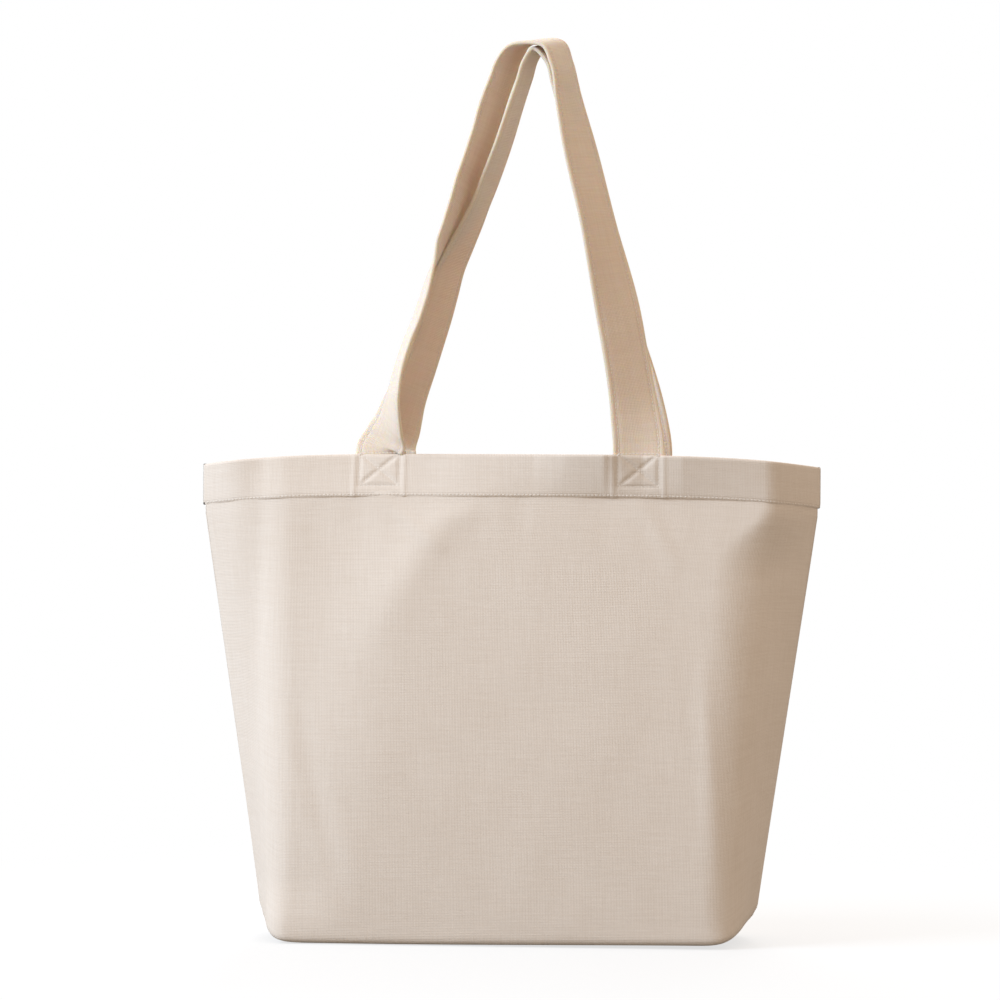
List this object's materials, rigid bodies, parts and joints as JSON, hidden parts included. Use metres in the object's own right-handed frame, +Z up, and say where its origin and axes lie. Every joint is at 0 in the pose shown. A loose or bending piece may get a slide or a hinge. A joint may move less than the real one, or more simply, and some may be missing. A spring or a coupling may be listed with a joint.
{
  "type": "canvas tote bag",
  "caption": "Plain canvas tote bag with boxed bottom corners, a folded and stitched hem, and long strap handles sewn inside the rim.",
  "frame": {"origin": "middle of the flat base, on the surface it stands on", "axes": "+Z up through the mouth and the raised handles, +X across the bag from its left side seam to its right one, front panel at -Y"},
  "size_m": [0.4844, 0.118, 0.7096],
  "materials": {
    "canvas": "heavy natural cotton canvas, plain weave, matt, undyed beige",
    "strap": "folded strap of the same canvas, matt",
    "thread": "cotton sewing thread, matching the canvas",
    "seam": "overlocked raw canvas edges inside the bag"
  },
  "bodies": {
    "bag": {"front_panel": "canvas", "front_hem": "canvas", "back_panel": "canvas", "back_hem": "canvas", "front_handle_left_end": "strap", "front_handle_right_end": "strap", "back_handle_left_end": "strap", "back_handle_right_end": "strap", "front_hem_stitch": "thread", "front_left_box_stitch": "thread", "front_right_box_stitch": "thread", "back_hem_stitch": "thread", "back_left_box_stitch": "thread", "back_right_box_stitch": "thread", "left_side_seam": "seam", "right_side_seam": "seam", "left_corner_seam": "seam", "right_corner_seam": "seam", "bottom_seam": "seam"},
    "front_handle": {"front_handle": "strap"},
    "back_handle": {"back_handle": "strap"}
  },
  "joints": [
    {"name": "front_handle_swing", "type": "hinge", "parent": "bag", "child": "front_handle", "pos_m": [0, -0.034, 0.38], "axis": [1, 0, 0], "range_deg": [0, 135]},
    {"name": "back_handle_swing", "type": "hinge", "parent": "bag", "child": "back_handle", "pos_m": [0, 0.034, 0.38], "axis": [-1, 0, 0], "range_deg": [0, 135]}
  ]
}
